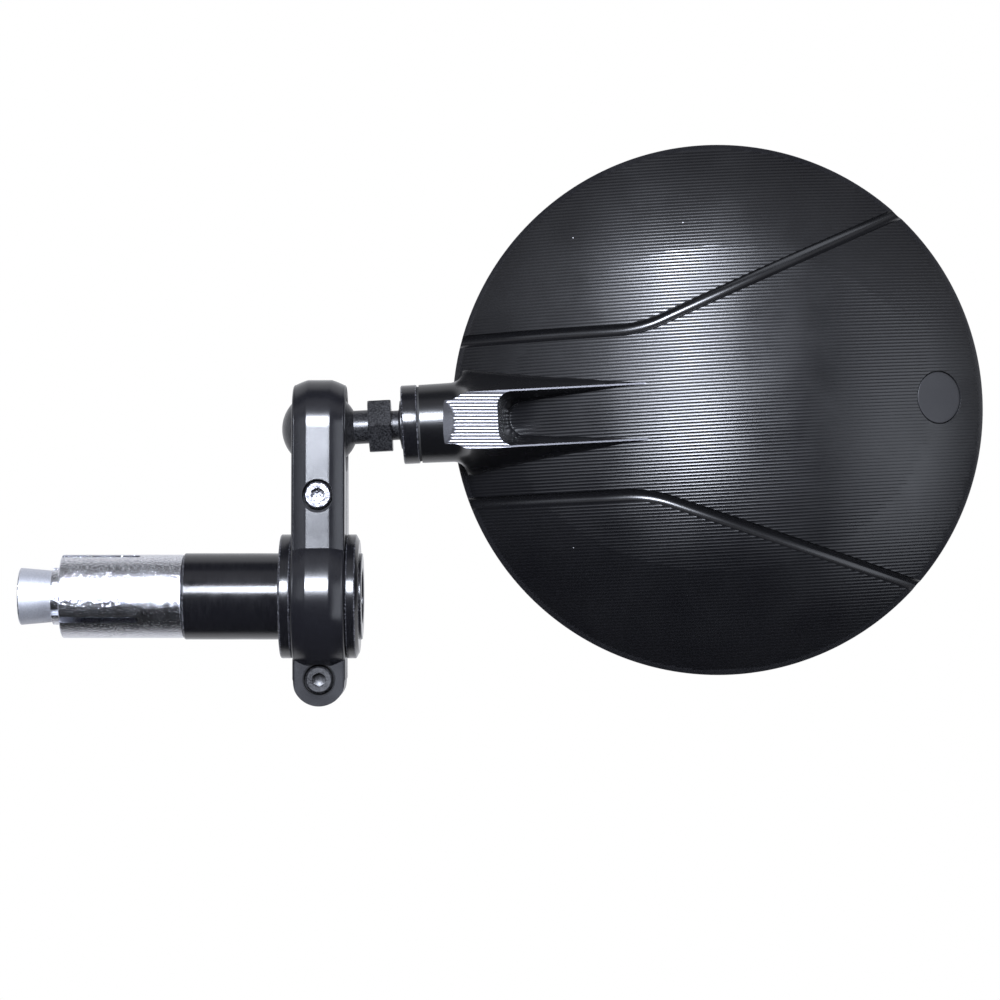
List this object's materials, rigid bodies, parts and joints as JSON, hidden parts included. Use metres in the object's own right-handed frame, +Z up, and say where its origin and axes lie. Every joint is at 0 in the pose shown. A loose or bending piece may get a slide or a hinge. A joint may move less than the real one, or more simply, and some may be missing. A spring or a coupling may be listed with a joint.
{
  "type": "bar-end mirror",
  "caption": "Round bar-end mirror with a milled domed back, on a ball-jointed pinch-clamp arm and an expanding plug for the end of a handlebar.",
  "frame": {"origin": "on the handlebar axis, at the inboard face of the bar-end flange, where the end of the handlebar stops", "axes": "+X out of the handlebar along its axis, +Z up along the arm, +Y the way the glass faces, towards the rider"},
  "size_m": [0.1909, 0.029, 0.1114],
  "materials": {
    "gloss_black": "gloss black anodised",
    "satin_black": "satin black anodised",
    "milled_black": "black anodised over fine milling ridges",
    "badge_black": "satin black anodised",
    "black_oxide": "black oxide",
    "bright_steel": "bright",
    "zinc": "bright zinc plate over a cast surface",
    "plain_aluminium": "matte turned",
    "nylon": "moulded nylon",
    "seal": "matte",
    "foam": "foam tape",
    "mirror": "silvered convex glass"
  },
  "bodies": {
    "bar_end": {"bar_end_body": "gloss_black", "end_cap": "gloss_black", "bolt_washer": "bright_steel", "expander_sleeve": "zinc"},
    "bolt": {"expander_bolt": "black_oxide"},
    "cone": {"wedge_cone": "plain_aluminium"},
    "arm": {"mirror_arm": "satin_black", "ball_pinch_screw": "bright_steel", "ring_pinch_screw": "black_oxide"},
    "seat": {"ball_seat": "nylon"},
    "stud": {"ball_stud": "black_oxide", "stud_washer": "bright_steel", "stud_nut": "bright_steel"},
    "head": {"mirror_head": "milled_black", "neck_collar": "gloss_black", "collar_seal": "seal", "neck_bush": "nylon", "badge_disc": "badge_black", "glass_pad": "foam", "mirror_glass": "mirror"}
  },
  "joints": [
    {"name": "arm_turn", "type": "hinge", "parent": "bar_end", "child": "arm", "pos_m": [0, 0, 0], "axis": [1, 0, 0], "continuous": true},
    {"name": "ball_turn", "type": "hinge", "parent": "arm", "child": "seat", "pos_m": [0.0077, 0, 0.0329], "axis": [1, 0, 0], "continuous": true},
    {"name": "ball_tilt", "type": "hinge", "parent": "seat", "child": "stud", "pos_m": [0.0077, 0, 0.0329], "axis": [0, 1, 0], "range_deg": [-21, 27]},
    {"name": "head_spin", "type": "hinge", "parent": "stud", "child": "head", "pos_m": [0.0077, 0, 0.0329], "axis": [0.9986, 0, 0.0523], "continuous": true},
    {"name": "bolt_turn", "type": "hinge", "parent": "bar_end", "child": "bolt", "pos_m": [0, 0, 0], "axis": [-1, 0, 0], "range_deg": [0, 432]},
    {"name": "cone_draw", "type": "slide", "parent": "bar_end", "child": "cone", "axis": [1, 0, 0], "range_m": [0, 0.0012]}
  ],
  "couplings": [
    {"joint": "cone_draw", "follows": "bolt_turn", "m_per_rad": 0.00015915}
  ]
}
